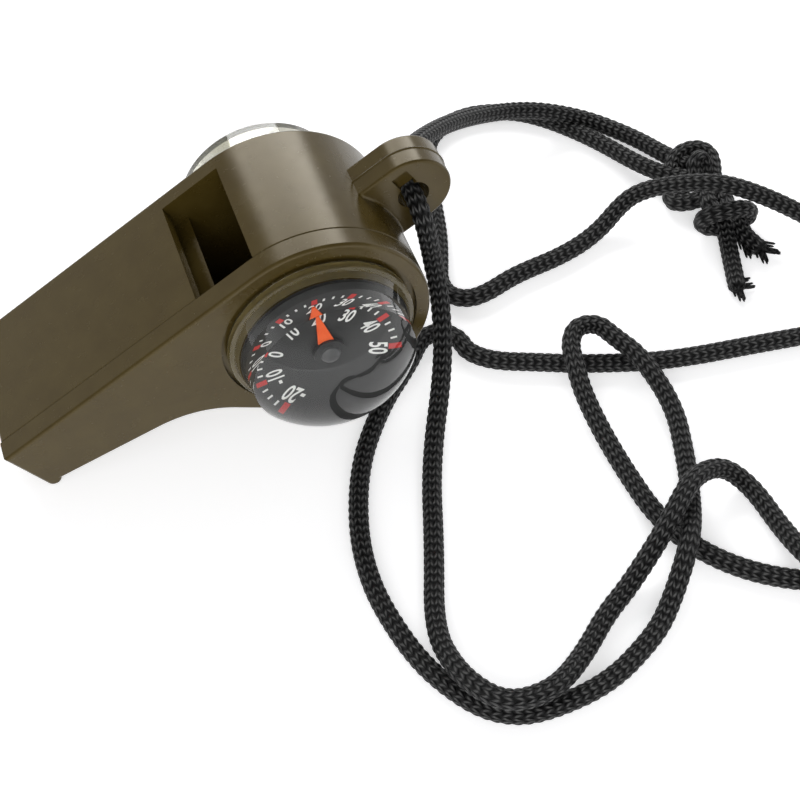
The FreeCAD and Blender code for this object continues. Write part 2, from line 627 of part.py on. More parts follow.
def make_compass():
    """Clear dome, base disc with its steel point, and the card with magnet and jewel on it"""
    shell_crease = DOME_CREASE + " - shell_crease"
    turned("compass_dome", [
        (DOME_BORE, ""), (DOME_FOOT, ""), (DOME_SHOULDER, "shoulder_rise"), (DOME_CREASE, "crease_rise"),
        (None, "apex_rise"), (None, "apex_rise - shell_crown"),
        (shell_crease, "crease_rise - shell_crease_drop"), (DOME_BORE + " - shell_shoulder", "shoulder_rise"),
    ], 1, caps=(3, 5))
    base_top = "- well_depth + base_sheet"
    turned("compass_base", [
        (None, "- well_depth"), (BASE_RADIUS, "- well_depth"), (BASE_RADIUS, base_top), (None, base_top),
    ], 1)
    turned("compass_pivot", [
        (None, base_top), ("pivot_radius", base_top), ("pivot_radius", "pivot_neck"), (None, "pivot_tip"),
    ], 1)
    card_edge = DOME_BORE + " - card_inset"
    card_bore = "jewel_radius + fit_gap"
    card_top = "card_rise + card_sheet"
    turned("compass_card", [
        (card_bore, "card_rise"), (card_edge, "card_rise"), (card_edge, card_top), (card_bore, card_top),
    ], 1)
    turned("compass_jewel", [
        ("socket_radius", "jewel_foot"), ("jewel_radius", "jewel_foot"),
        ("jewel_radius", "jewel_rise"), (None, "jewel_rise"), (None, "socket_top"),
    ], 1)
    magnet = new_body("compass_magnet", size("north_angle"))
    bar = new_sketch(magnet, "magnet_outline", "XZ_Plane", "- half_width - card_rise")
    half_length = size("magnet_length") / 2
    half_width = size("magnet_width") / 2
    corners = [(-half_length, -half_width), (half_length, -half_width), (half_length, half_width),
               (-half_length, half_width)]
    points = [FreeCAD.Vector(x, z, 0) for x, z in corners]
    for index, start in enumerate(points):
        bar.addGeometry(Part.LineSegment(start, points[(index + 1) % 4]), False)
        bar.addConstraint(Sketcher.Constraint("Horizontal" if index % 2 == 0 else "Vertical", index))
    for index in range(4):
        bar.addConstraint(Sketcher.Constraint("Coincident", index, 2, (index + 1) % 4, 1))
    bar.addConstraint(Sketcher.Constraint("Symmetric", 0, 1, 1, 2, -1, 1))
    bind(bar, "long", Sketcher.Constraint("DistanceX", 0, 1, 0, 2, 2 * half_length), "Sizes.magnet_length")
    bind(bar, "wide", Sketcher.Constraint("DistanceY", 1, 1, 1, 2, 2 * half_width), "Sizes.magnet_width")
    circle(bar, "bore", "jewel_radius + fit_gap")
    pad(magnet, bar, "magnet_bar", "magnet_sheet")


def cord_shape(route, radius):
    """Round tube on straight runs joined by tangent arcs, with its bend radii"""
    points = [FreeCAD.Vector(*point) for point in route]
    edges = []
    radii = []
    start = points[0]
    for before, corner, after in zip(points, points[1:], points[2:]):
        incoming = corner - before
        outgoing = after - corner
        half_turn = incoming.getAngle(outgoing) / 2
        setback = CORNER_SHARE * min(incoming.Length, outgoing.Length)
        radii.append(setback / math.tan(half_turn))
        incoming.normalize()
        outgoing.normalize()
        first = corner - incoming * setback
        last = corner + outgoing * setback
        inward = (outgoing - incoming).normalize()
        middle = corner + inward * radii[-1] * (1 / math.cos(half_turn) - 1)
        edges.append(Part.LineSegment(start, first).toShape())
        edges.append(Part.Arc(first, middle, last).toShape())
        start = last
    edges.append(Part.LineSegment(start, points[-1]).toShape())
    path = Part.Wire(edges)
    section = Part.Wire(Part.Circle(points[0], points[1] - points[0], radius).toShape())
    tube = path.makePipeShell([section], True, False)
    return tube, path.Length, radii


def make_cords():
    """The two sides of the neck cord, their knot and the tails"""
    routes = {"neck_cord": LONG_ROUTE, "neck_cord_short": SHORT_ROUTE}
    for number, route in enumerate(TAIL_ROUTES, start=1):
        routes["cord_tail_%d" % number] = route
    for label, route in routes.items():
        radius = size("tail_radius" if "tail" in label else "cord_radius")
        shape, length, radii = cord_shape(route, radius)
        ideal = math.pi * radius ** 2 * length
        print(label, "length %.1f" % length, "volume %.4f of section times length" % (shape.Volume / ideal))
        print("   bend radii", " ".join("%.1f" % value for value in radii))
        cord = doc.addObject("Part::Feature", label)
        cord.Label = label
        cord.Shape = shape
        cord.Placement = FreeCAD.Placement()
        nodes.append(cord)
    knot = doc.addObject("Part::Feature", "cord_knot")
    knot.Label = "cord_knot"
    knot.Shape = knot_shape()
    nodes.append(knot)


def knot_shape():
    """Plain bead round the knot: two lobes with a waist where the cord passes over it"""
    start, stop = [FreeCAD.Vector(*point) for point in KNOT_AXIS]
    axis = stop - start
    length = axis.Length
    bevel, lobe, neck = size("knot_bevel"), size("knot_lobe"), size("knot_neck")
    profile = [(0, 0), (size("knot_end"), 0), (size("knot_radius"), bevel), (size("knot_radius"), lobe),
               (size("knot_waist"), lobe + neck), (size("knot_radius"), lobe + 2 * neck),
               (size("knot_radius"), length - bevel), (size("knot_end"), length), (0, length)]
    corners = [FreeCAD.Vector(radius, 0, along) for radius, along in profile]
    outline = Part.Face(Part.makePolygon(corners + corners[:1]))
    bead = outline.revolve(FreeCAD.Vector(), FreeCAD.Vector(0, 0, 1), 360)
    bead.Placement = FreeCAD.Placement(start, FreeCAD.Rotation(FreeCAD.Vector(0, 0, 1), axis))
    return bead


make_whistle_body()
make_side_cover()
make_thermometer()
make_compass()
make_cords()
doc.recompute()

for item in doc.Objects:
    if "Invalid" in item.State or "Error" in item.State:
        raise RuntimeError(item.Label + " is not valid")
os.makedirs("parts", exist_ok=True)
for node in nodes:
    shape = node.Shape
    if shape.isNull() or not shape.isValid():
        raise RuntimeError(node.Label + " has no valid shape")
    print("%-22s volume %9.2f solids %d" % (node.Label, shape.Volume, len(shape.Solids)))
    shape.exportStep("parts/" + node.Label + ".step")
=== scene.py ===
import bmesh
import bpy
import math
from mathutils import Matrix, Vector


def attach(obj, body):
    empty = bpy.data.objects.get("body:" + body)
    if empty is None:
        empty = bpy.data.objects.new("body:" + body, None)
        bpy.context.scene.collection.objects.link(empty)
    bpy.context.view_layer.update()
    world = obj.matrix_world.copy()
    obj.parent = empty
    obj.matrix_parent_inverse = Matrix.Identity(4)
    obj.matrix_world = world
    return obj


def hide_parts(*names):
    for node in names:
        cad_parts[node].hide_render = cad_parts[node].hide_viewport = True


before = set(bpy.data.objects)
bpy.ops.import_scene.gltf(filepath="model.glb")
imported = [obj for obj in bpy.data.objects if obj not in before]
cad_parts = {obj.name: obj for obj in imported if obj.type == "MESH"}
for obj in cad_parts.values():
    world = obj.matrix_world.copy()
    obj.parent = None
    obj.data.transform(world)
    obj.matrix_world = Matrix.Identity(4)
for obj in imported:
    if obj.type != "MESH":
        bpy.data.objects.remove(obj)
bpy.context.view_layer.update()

# Moulded halves of the whistle: satin olive-brown plastic with a faintly uneven gloss. The body
# carries a raised parting line round its lug, and the cover is glued on flush.
MM = 0.001
OLIVE = (0.047, 0.031, 0.006)
OLIVE_WORN = (0.06, 0.042, 0.01)
OLIVE_GLOSS = (1.0, 0.9, 0.7)
SKIN_ROUGHNESS = (0.21, 0.31)


def new_material(name):
    """Empty node material with a Principled shader wired to its output"""
    material = bpy.data.materials.new(name)
    material.use_nodes = True
    nodes = material.node_tree.nodes
    nodes.clear()
    output = nodes.new("ShaderNodeOutputMaterial")
    shader = nodes.new("ShaderNodeBsdfPrincipled")
    material.node_tree.links.new(shader.outputs["BSDF"], output.inputs["Surface"])
    return material, shader


def add_node(material, kind, **settings):
    """Node with its properties set by name"""
    node = material.node_tree.nodes.new(kind)
    for key, value in settings.items():
        setattr(node, key, value)
    return node


def wire(material, source, target):
    material.node_tree.links.new(source, target)


def math_node(material, operation, *values):
    """Math node fed with numbers or other nodes' outputs"""
    node = add_node(material, "ShaderNodeMath", operation=operation)
    for socket, value in zip(node.inputs, values):
        if isinstance(value, (int, float)):
            socket.default_value = value
        else:
            wire(material, value, socket)
    return node.outputs[0]


def ramp(material, source, *stops):
    """Colour ramp from (position, colour) stops"""
    node = add_node(material, "ShaderNodeValToRGB")
    elements = node.color_ramp.elements
    while len(elements) < len(stops):
        elements.new(0.5)
    for element, (position, colour) in zip(elements, stops):
        element.position = position
        element.color = (*colour, 1)
    wire(material, source, node.inputs["Fac"])
    return node.outputs["Color"]


def noise(material, scale, detail=2.0, roughness=0.5):
    """Noise in Object coordinates"""
    place = add_node(material, "ShaderNodeTexCoord")
    node = add_node(material, "ShaderNodeTexNoise")
    node.inputs["Scale"].default_value = scale
    node.inputs["Detail"].default_value = detail
    node.inputs["Roughness"].default_value = roughness
    wire(material, place.outputs["Object"], node.inputs["Vector"])
    return node.outputs["Fac"]


def moulded_plastic(name, colour, worn, roughness, tint=(1.0, 1.0, 1.0)):
    """Satin moulded plastic: mottled colour and uneven gloss"""
    material, shader = new_material(name)
    shader.inputs["IOR"].default_value = 1.5
    shader.inputs["Specular Tint"].default_value = (*tint, 1)
    mottle = noise(material, 260, 4.0, 0.6)
    wire(material, ramp(material, mottle, (0.35, colour), (0.75, worn)), shader.inputs["Base Color"])
    gloss = add_node(material, "ShaderNodeMapRange")
    gloss.inputs["To Min"].default_value = roughness[0]
    gloss.inputs["To Max"].default_value = roughness[1]
    wire(material, noise(material, 700, 3.0), gloss.inputs["Value"])
    wire(material, gloss.outputs["Result"], shader.inputs["Roughness"])
    return material


olive = moulded_plastic("olive moulded plastic", OLIVE, OLIVE_WORN, SKIN_ROUGHNESS, OLIVE_GLOSS)


def dress(names, material, angle=32):
    """Give carried-over solids a finish, smooth across their curves and crisp at their edges"""
    for name in names:
        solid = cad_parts[name]
        solid.data.materials.clear()
        solid.data.materials.append(material)
        solid.data.shade_smooth()
        solid.data.set_sharp_from_angle(angle=math.radians(angle))


dress(["whistle_body", "side_cover"], olive)

# Lug details, moulded with the body: the bead of the parting line round its edge, and the shallow
# floor of the square core mark above the cord's eye. The cord and the eye keep clear of both.
DRUM_RADIUS = 14.4
HALF_WIDTH = 10.5
LIP_REACH = 38.1
LIP_HEIGHT = 6.25
LIP_RADIUS = 0.95
pitch = math.atan2(LIP_HEIGHT, LIP_REACH) + math.asin(
    (DRUM_RADIUS - LIP_RADIUS) / math.hypot(LIP_REACH, LIP_HEIGHT))
WHISTLE = (Matrix.Translation((0, 0, DRUM_RADIUS * MM)) @ Matrix.Rotation(-pitch, 4, "Y")
           @ Matrix.Scale(MM, 4))
LUG_CENTRE = (18.15, 0.3)
LUG_RADIUS = 5.2
LUG_ROOT = 12.6
BEAD_LEVEL = 1.3
BEAD_PROFILE = [(-0.2, -0.1), (-0.12, 0.07), (0.0, 0.12), (0.12, 0.07), (0.2, -0.1)]
BEAD_STEPS = 48
RECESS_LOW = Vector((17.4, -0.45, 1.6))
RECESS_HIGH = Vector((19.65, 2.4, 4.1))
WELD = 1e-5


def new_piece(name, bm, material, body):
    """Mesh object at the origin, riding on a body"""
    mesh = bpy.data.meshes.new(name)
    bm.to_mesh(mesh)
    bm.free()
    mesh.materials.append(material)
    piece = bpy.data.objects.new(name, mesh)
    bpy.context.scene.collection.objects.link(piece)
    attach(piece, body)
    return piece


def turned_piece(name, bm, material, body, angle=30):
    """Piece drawn in the whistle's own frame: joined up, faced outwards, smooth on its curves"""
    bmesh.ops.remove_doubles(bm, verts=bm.verts, dist=WELD)
    bmesh.ops.recalc_face_normals(bm, faces=bm.faces)
    bmesh.ops.transform(bm, matrix=WHISTLE, verts=bm.verts)
    piece = new_piece(name, bm, material, body)
    piece.data.shade_smooth()
    piece.data.set_sharp_from_angle(angle=math.radians(angle))
    return piece


def faces_of(geometry):
    return [part for part in geometry if isinstance(part, bmesh.types.BMFace)]


def draw_out(bm, faces, along):
    """Extrude faces straight along X and give the moved faces"""
    swept = bmesh.ops.extrude_face_region(bm, geom=faces)["geom"]
    bmesh.ops.translate(bm, vec=(along, 0, 0), verts=[v for v in swept if isinstance(v, bmesh.types.BMVert)])
    return faces_of(swept)


bead = bmesh.new()
bead_end = bead.faces.new([bead.verts.new((LUG_ROOT, BEAD_LEVEL + along, LUG_CENTRE[1] + LUG_RADIUS + rise))
                           for along, rise in BEAD_PROFILE])
leading = draw_out(bead, [bead_end], LUG_CENTRE[0] - LUG_ROOT)
rounded = bmesh.ops.spin(bead, geom=leading, cent=(LUG_CENTRE[0], 0, LUG_CENTRE[1]), axis=(0, 1, 0),
                         angle=math.pi, steps=BEAD_STEPS, use_duplicate=False)["geom_last"]
draw_out(bead, faces_of(rounded), LUG_ROOT - LUG_CENTRE[0])
turned_piece("lug_parting_bead", bead, olive, "whistle")

recess = bmesh.new()
recess_size = Matrix.Diagonal((*(RECESS_HIGH - RECESS_LOW), 1))
bmesh.ops.create_cube(recess, size=1, matrix=Matrix.Translation((RECESS_LOW + RECESS_HIGH) / 2) @ recess_size)
turned_piece("lug_recess_floor", recess, olive, "whistle")

# Clear domes, cast in acrylic: a thick lens over the thermometer and a hollow shell over the
# compass. Each has a low shoulder, a tapered skirt, a crease and a round cap. Inside the lens foot
# lies a thin olive ring, painted lighter than the body as painted light for the olive seen lit through the
# glass.
SHOULDER_CENTRE = (11.55, 0.85)
SHOULDER_ROUND = 0.3
DOME_SKIRT = [(11.3, 1.17), (10.5, 3.4), (10.3, 6.2)]
DOME_APEX = 11.5
LENS_INSIDE = [(0.0, 2.9), (0.515, 2.9), (0.515, 1.8), (9.9, 1.8), (9.9, 1.5), (10.19, 1.5),
               (10.19, -0.02)]
SHELL_CREASE = (8.7, 6.1)
SHELL_APEX = 10.1
SHELL_FOOT = [(9.3, 3.4), (10.35, -0.02)]
# Ring inside the lens foot that carries the lighter olive painted as light
PAINTED_LIT_FILM_PROFILE = [(11.7, 0.0), (11.7, 0.06), (10.3, 0.06), (10.3, 1.45), (10.23, 1.45), (10.23, 0.0)]
TURN_STEPS = 144
CREASE_ANGLE = 12
LENS_FOOT = (11.85, -0.02)
SHOULDER_TURNS = range(0, 90, 10)
ACRYLIC_IOR = 1.49


def cap_arc(crease, apex, steps):
    """Points of a round cap from its crease to its apex on the axis"""
    radius, base = crease
    rise = apex - base
    ball = (radius ** 2 + rise ** 2) / (2 * rise)
    half = math.asin(radius / ball)
    turns = [half * (1 - step / steps) for step in range(1, steps + 1)]
    return [(ball * math.sin(turn), apex - ball * (1 - math.cos(turn))) for turn in turns]


def spun(profile, side):
    """Closed ring or dome from a profile of (radius, height above the side face) points"""
    bm = bmesh.new()
    corners = [bm.verts.new((radius, side * (HALF_WIDTH + height), 0)) for radius, height in profile]
    edges = [bm.edges.new(pair) for pair in zip(corners, corners[1:])]
    if profile[0][0] > 0 and profile[-1][0] > 0:
        edges.append(bm.edges.new((corners[-1], corners[0])))
    bmesh.ops.spin(bm, geom=corners + edges, cent=(0, 0, 0), axis=(0, 1, 0), angle=2 * math.pi,
                   steps=TURN_STEPS, use_merge=True, use_duplicate=False)
    return bm


def cast_acrylic(name, colour, roughness, transmission):
    material, shader = new_material(name)
    shader.inputs["Base Color"].default_value = (*colour, 1)
    shader.inputs["Roughness"].default_value = roughness
    shader.inputs["IOR"].default_value = ACRYLIC_IOR
    shader.inputs["Transmission Weight"].default_value = transmission
    return material


clear = cast_acrylic("clear cast acrylic", (0.96, 0.97, 0.95), 0.0, 1.0)
smoky = cast_acrylic("smoky cast acrylic", (0.68, 0.67, 0.58), 0.07, 0.9)
# Olive about three times lighter than the body: painted light for the lit olive seen through the lens foot,
# which the glass keeps in shade
painted_lit_olive = moulded_plastic("olive film painted lighter as lit", (0.15, 0.115, 0.04), (0.2, 0.155, 0.06), (0.3, 0.4))

shoulder = [(SHOULDER_CENTRE[0] + SHOULDER_ROUND * math.cos(math.radians(turn)),
             SHOULDER_CENTRE[1] + SHOULDER_ROUND * math.sin(math.radians(turn))) for turn in SHOULDER_TURNS]
outside = [LENS_FOOT] + shoulder + DOME_SKIRT + cap_arc(DOME_SKIRT[-1], DOME_APEX, 26)
lens = turned_piece("thermometer_lens", spun(outside + LENS_INSIDE + [LENS_FOOT], -1),
                    clear, "whistle", CREASE_ANGLE)
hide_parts("thermometer_dome")
# The painted-light olive ring, laid inside the lens foot
turned_piece("lens_foot_painted_lit_film", spun(PAINTED_LIT_FILM_PROFILE, -1), painted_lit_olive, "whistle")
inside = cap_arc(SHELL_CREASE, SHELL_APEX, 20)[::-1] + [SHELL_CREASE] + SHELL_FOOT
shell = turned_piece("compass_shell", spun(outside + inside + [LENS_FOOT], 1),
                     smoky, "whistle", CREASE_ANGLE)
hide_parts("compass_dome")

# Thermometer dial: a black disc printed with white numerals from -20 to 50, a red tick at every
# ten and white ticks between. The print lies just above the disc, and the needle passes over it.
READINGS = range(-20, 60, 10)
FIRST_ANGLE = 202.5
TEN_DEGREES = 35.2
PRINT_LEVEL = 2.03
PRINT_SHIFT = -0.5
NUMERAL_RADIUS = 4.9
NUMERAL_SIZE = 2.35
NUMERAL_SLANT = 0.2
NUMERAL_WEIGHT = 0.05
NUMERAL_SQUEEZE = 0.62
TEN_TICK = (5.85, 7.1, 0.62)
MINOR_TICK = (6.1, 6.75, 0.24)

dial_black = moulded_plastic("black dial print", (0.014, 0.014, 0.0145), (0.02, 0.02, 0.0205), (0.35, 0.45))
white_print = moulded_plastic("white print", (0.8, 0.8, 0.78), (0.86, 0.86, 0.84), (0.4, 0.5))
red_print = moulded_plastic("red print", (0.55, 0.02, 0.02), (0.62, 0.03, 0.025), (0.4, 0.5))
dress(["thermometer_dial"], dial_black)


def dial_place(angle, radius):
    """Place of a mark on the near side: up is outwards, right is clockwise as seen from outside"""
    turn = math.radians(angle)
    right = Vector((math.sin(turn), 0, -math.cos(turn)))
    up = Vector((math.cos(turn), 0, math.sin(turn)))
    out = Vector((0, -1, 0))
    place = Matrix((right, up, out)).transposed().to_4x4()
    place.translation = up * radius + out * (HALF_WIDTH + PRINT_LEVEL) + Vector((PRINT_SHIFT, 0, 0))
    return WHISTLE @ place


def printed_numeral(reading, place):
    """Flat numeral on the dial, narrow and leaning to the right"""
    name = "numeral_%s" % str(reading).replace("-", "minus_")
    curve = bpy.data.curves.new(name, "FONT")
    curve.body = str(reading)
    curve.size = NUMERAL_SIZE
    curve.align_x = "CENTER"
    curve.align_y = "CENTER"
    curve.resolution_u = 4
    curve.shear = NUMERAL_SLANT
    curve.offset = NUMERAL_WEIGHT
    lettering = bpy.data.objects.new(name + "_text", curve)
    mesh = bpy.data.meshes.new_from_object(lettering)
    bm = bmesh.new()
    bm.from_mesh(mesh)
    bpy.data.objects.remove(lettering)
    bpy.data.meshes.remove(mesh)
    bmesh.ops.scale(bm, vec=(NUMERAL_SQUEEZE, 1, 1), verts=bm.verts)
    low = [min(vert.co[axis] for vert in bm.verts) for axis in range(2)]
    high = [max(vert.co[axis] for vert in bm.verts) for axis in range(2)]
    bmesh.ops.translate(bm, vec=(-(low[0] + high[0]) / 2, -(low[1] + high[1]) / 2, 0), verts=bm.verts)
    bmesh.ops.transform(bm, matrix=place, verts=bm.verts)
    new_piece(name, bm, white_print, "whistle")


def printed_bar(bm, inner, outer, width, place):
    """Rectangle of print between two radii"""
    size = Matrix.Diagonal((width, outer - inner, 1, 1))
    bmesh.ops.create_grid(bm, x_segments=1, y_segments=1, size=0.5, matrix=place @ size)


ten_ticks = bmesh.new()
minor_ticks = bmesh.new()
for index, reading in enumerate(READINGS):
    angle = FIRST_ANGLE - TEN_DEGREES * index
    printed_numeral(reading, dial_place(angle, NUMERAL_RADIUS))
    printed_bar(ten_ticks, *TEN_TICK, dial_place(angle, (TEN_TICK[0] + TEN_TICK[1]) / 2))
    if reading == READINGS[-1]:
        continue
    for share in (0.25, 0.5, 0.75):
        place = dial_place(angle - TEN_DEGREES * share, (MINOR_TICK[0] + MINOR_TICK[1]) / 2)
        printed_bar(minor_ticks, *MINOR_TICK, place)
new_piece("dial_ten_ticks", ten_ticks, red_print, "whistle")
new_piece("dial_minor_ticks", minor_ticks, white_print, "whistle")

# Needle and coil of the thermometer: a thin orange-red pointer with a black hub on a turned
# arbor, a small grey cap over the hub, and the two-metal strip that winds round the arbor below.
HUB_RADIUS = 1.5
PAINT_START = 1.02
CAP_PROFILE = [(0.0, 3.05), (0.5, 3.0), (0.85, 2.8), (0.95, 2.57), (0.0, 2.57)]

needle_paint, needle_shader = new_material("orange needle paint with a black hub")
spot = add_node(needle_paint, "ShaderNodeTexCoord")
to_axis = add_node(needle_paint, "ShaderNodeMapping")
to_axis.inputs["Location"].default_value = (0, 0, -DRUM_RADIUS * MM)
to_axis.inputs["Scale"].default_value = (1, 0, 1)
wire(needle_paint, spot.outputs["Object"], to_axis.inputs["Vector"])
from_axis = add_node(needle_paint, "ShaderNodeVectorMath", operation="LENGTH")
wire(needle_paint, to_axis.outputs["Vector"], from_axis.inputs[0])
beyond_hub = math_node(needle_paint, "GREATER_THAN", from_axis.outputs["Value"], PAINT_START * HUB_RADIUS * MM)
paint = ramp(needle_paint, noise(needle_paint, 900, 3.0),
             (0.3, (0.86, 0.1, 0.012)), (0.7, (0.92, 0.13, 0.02)))
coats = add_node(needle_paint, "ShaderNodeMix", data_type="RGBA")
coats.inputs["A"].default_value = (0.012, 0.012, 0.013, 1)
wire(needle_paint, beyond_hub, coats.inputs["Factor"])
wire(needle_paint, paint, coats.inputs["B"])
wire(needle_paint, coats.outputs["Result"], needle_shader.inputs["Base Color"])
needle_shader.inputs["Roughness"].default_value = 0.42


def metal(name, dull, bright, roughness):
    material, shader = new_material(name)
    shader.inputs["Metallic"].default_value = 1.0
    shader.inputs["Roughness"].default_value = roughness
    colour = ramp(material, noise(material, 900, 3.0), (0.3, dull), (0.7, bright))
    wire(material, colour, shader.inputs["Base Color"])
    return material


brass = metal("turned brass", (0.62, 0.44, 0.18), (0.72, 0.55, 0.26), 0.3)
steel = metal("bright steel", (0.5, 0.5, 0.5), (0.62, 0.62, 0.6), 0.28)
dress(["thermometer_pointer"], needle_paint)
dress(["pointer_arbor", "coil_anchor"], brass)
dress(["bimetal_coil"], steel)
cap_grey = moulded_plastic("dark grey cap lacquer", (0.045, 0.045, 0.047), (0.06, 0.06, 0.062), (0.25, 0.35))
turned_piece("pointer_cap", spun(CAP_PROFILE, -1), cap_grey, "pointer")

# Compass: a white base with a steel point, and a light card with its jewel and bar magnet that
# swings on the point under the far dome. A red arrow and black ticks are printed on the card.
NORTH_ANGLE = 35.0
CARD_LEVEL = 3.72
CARD_LONG_TICK = (6.5, 7.9, 0.4)
CARD_TICK = (7.2, 7.9, 0.22)
CARD_MARKS = 36
MARK_ANGLE = 360 / CARD_MARKS
ARROW_RADIUS = 5.0
ARROW_SIZE = (0.95, 1.5)

white_plastic = moulded_plastic("white moulded plastic", (0.74, 0.74, 0.7), (0.8, 0.8, 0.77), (0.35, 0.5))
dress(["compass_base", "compass_card"], white_plastic)
dress(["compass_pivot", "compass_magnet"], steel)
dress(["compass_jewel"], brass)


def card_place(angle, radius):
    """Place of a mark on the card: up is outwards, and it faces the far side"""
    turn = math.radians(angle)
    right = Vector((-math.sin(turn), 0, math.cos(turn)))
    up = Vector((math.cos(turn), 0, math.sin(turn)))
    place = Matrix((right, up, Vector((0, 1, 0)))).transposed().to_4x4()
    place.translation = up * radius + Vector((0, HALF_WIDTH + CARD_LEVEL, 0))
    return WHISTLE @ place


card_ticks = bmesh.new()
for step in range(CARD_MARKS):
    inner, outer, width = CARD_TICK if step % (CARD_MARKS // 4) else CARD_LONG_TICK
    place = card_place(NORTH_ANGLE + MARK_ANGLE * step, (inner + outer) / 2)
    printed_bar(card_ticks, inner, outer, width, place)
new_piece("card_ticks", card_ticks, dial_black, "card")
card_arrow = bmesh.new()
bmesh.ops.create_circle(card_arrow, cap_ends=True, segments=3, radius=1,
                        matrix=card_place(NORTH_ANGLE, ARROW_RADIUS) @ Matrix.Diagonal((*ARROW_SIZE, 1, 1)))
new_piece("card_arrow", card_arrow, red_print, "card")

# Neck cord: one black braided cord, threaded through the lug and knotted to itself. It falls from
# the lug and lies limp on the ground in two loose loops. Its points follow the photograph.
CORD_RADIUS = 1.2
LONG_ROUTE = [
    (15.9, 1.3, 22.9), (15.8, -1.6, 23.5), (15.8, -3.9, 22.6), (16.1, -4.9, 20.2),
    (16.6, -5.1, 15.3), (16.7, -7.6, 10.4), (14.7, -13.9, 5.1), (8.6, -25.3, 1.3),
    (4.7, -37.3, 1.2), (0.7, -48.0, 2.0), (1.0, -54.4, 3.6), (2.8, -58.4, 4.1),
    (4.7, -60.4, 4.3), (7.3, -61.0, 4.1), (11.2, -60.4, 3.7), (16.1, -56.5, 1.5),
    (20.3, -52.7, 1.2), (24.6, -50.1, 1.4), (30.7, -46.4, 5.4), (35.5, -42.0, 6.0),
    (39.2, -40.1, 4.3), (41.7, -40.0, 2.9), (43.5, -41.6, 1.5), (44.3, -44.3, 1.2),
    (44.6, -48.6, 1.3), (44.6, -53.4, 2.9), (45.2, -58.8, 4.8), (45.9, -66.0, 2.7),
    (48.6, -71.6, 1.3), (53.9, -75.1, 1.2), (58.2, -75.1, 1.2), (61.5, -73.1, 1.2),
    (63.1, -70.7, 1.2), (62.8, -68.1, 1.2), (60.9, -65.4, 1.2), (56.6, -63.0, 1.2),
    (49.4, -59.5, 1.2), (38.3, -54.0, 1.2), (31.7, -44.9, 1.2), (30.5, -32.7, 1.2),
    (30.0, -24.1, 2.8), (30.6, -19.0, 3.9), (31.4, -15.6, 4.0), (33.2, -13.4, 4.1),
    (36.1, -13.9, 4.0), (37.2, -16.8, 3.9), (39.0, -20.8, 3.9), (40.3, -28.5, 2.1),
    (38.5, -35.7, 1.2), (37.0, -40.0, 1.5), (33.9, -46.6, 4.2), (31.5, -50.2, 4.3),
    (27.3, -54.8, 1.5), (24.0, -57.5, 1.2), (17.0, -61.1, 1.2), (8.4, -61.8, 1.2),
    (4.1, -60.3, 1.2), (0.8, -56.8, 1.2), (-2.7, -49.6, 1.2), (-4.4, -36.8, 1.2),
    (-0.6, -23.6, 1.2), (5.6, -14.6, 1.2), (11.6, -9.1, 1.2), (14.4, -5.6, 1.2),
    (17.2, -5.4, 1.2), (19.1, -7.4, 1.2), (19.3, -10.1, 1.2), (22.0, -12.8, 1.2),
    (26.9, -14.9, 1.2), (32.4, -17.4, 1.2), (42.9, -21.0, 1.2), (56.4, -22.8, 1.2),
    (66.5, -24.4, 1.2), (72.6, -23.7, 1.2), (76.5, -20.5, 1.3), (78.2, -17.4, 1.4),
    (78.1, -14.9, 1.4), (76.3, -12.0, 1.7), (73.0, -8.2, 2.0), (66.4, -3.1, 5.4),
    (59.6, -0.3, 8.6), (54.2, 2.9, 7.1), (50.8, 5.2, 4.8), (48.2, 5.4, 3.3),
    (43.6, 3.1, 1.4), (37.8, 1.1, 1.2), (30.1, 0.1, 1.3), (25.6, -1.5, 1.3),
    (22.6, -1.6, 1.2), (20.4, 0.1, 1.2), (20.2, 3.0, 1.2), (21.6, 6.5, 1.2),
    (23.4, 11.8, 1.2), (25.4, 21.5, 1.3), (27.3, 27.4, 1.3), (29.5, 30.4, 1.2),
    (33.6, 32.0, 1.2), (37.9, 31.8, 1.2), (43.8, 29.2, 1.2), (50.1, 21.5, 1.2),
    (54.5, 11.6, 2.1), (57.4, 8.0, 2.6), (60.3, 5.6, 2.9),
]
SHORT_ROUTE = [
    (15.9, 1.3, 22.9), (16.4, 5.6, 23.1), (18.9, 8.6, 21.7), (22.0, 12.4, 19.0),
    (27.1, 18.0, 14.5), (33.0, 23.1, 9.5), (38.4, 25.8, 6.2), (42.5, 26.1, 4.8),
    (46.1, 25.6, 3.6), (50.0, 24.7, 2.0), (52.9, 22.7, 1.3), (56.4, 18.1, 1.2),
    (58.1, 13.2, 2.1), (59.4, 10.0, 2.8), (61.4, 7.2, 2.9),
]
BRAID_COLUMNS = 8
STITCH_LENGTH = 1.12
STITCH_LEAN = 1.0
STITCH_SWELL = 0.065
ROUNDED_END = 0.9
ROW_STEP = 0.28
ROUND_STEPS = 40
NARROWEST_END = 0.25
GAP_UV = (0.25, 0.25)


def cord_line(name, route):
    """Smooth centre line of a route: points along its curve, evenly spaced, in metres"""
    curve = bpy.data.curves.new(name, "CURVE")
    curve.dimensions = "3D"
    spline = curve.splines.new("NURBS")
    spline.points.add(len(route) - 1)
    for point, place in zip(spline.points, route):
        point.co = (place[0] * MM, place[1] * MM, place[2] * MM, 1)
    spline.order_u = 3
    spline.use_endpoint_u = True
    spline.resolution_u = 24
    holder = bpy.data.objects.new(name, curve)
    mesh = bpy.data.meshes.new_from_object(holder)
    dots = [vertex.co.copy() for vertex in mesh.vertices]
    bpy.data.objects.remove(holder)
    bpy.data.meshes.remove(mesh)
    total = sum((b - a).length for a, b in zip(dots, dots[1:]))
    count = max(8, round(total / (ROW_STEP * MM)))
    line = [dots[0]]
    travelled = 0.0
    step = total / count
    for a, b in zip(dots, dots[1:]):
        length = (b - a).length
        while length > 0 and travelled + length >= step * len(line) - 1e-12 and len(line) < count:
            line.append(a.lerp(b, (step * len(line) - travelled) / length))
        travelled += length
    line.append(dots[-1])
    return line, total


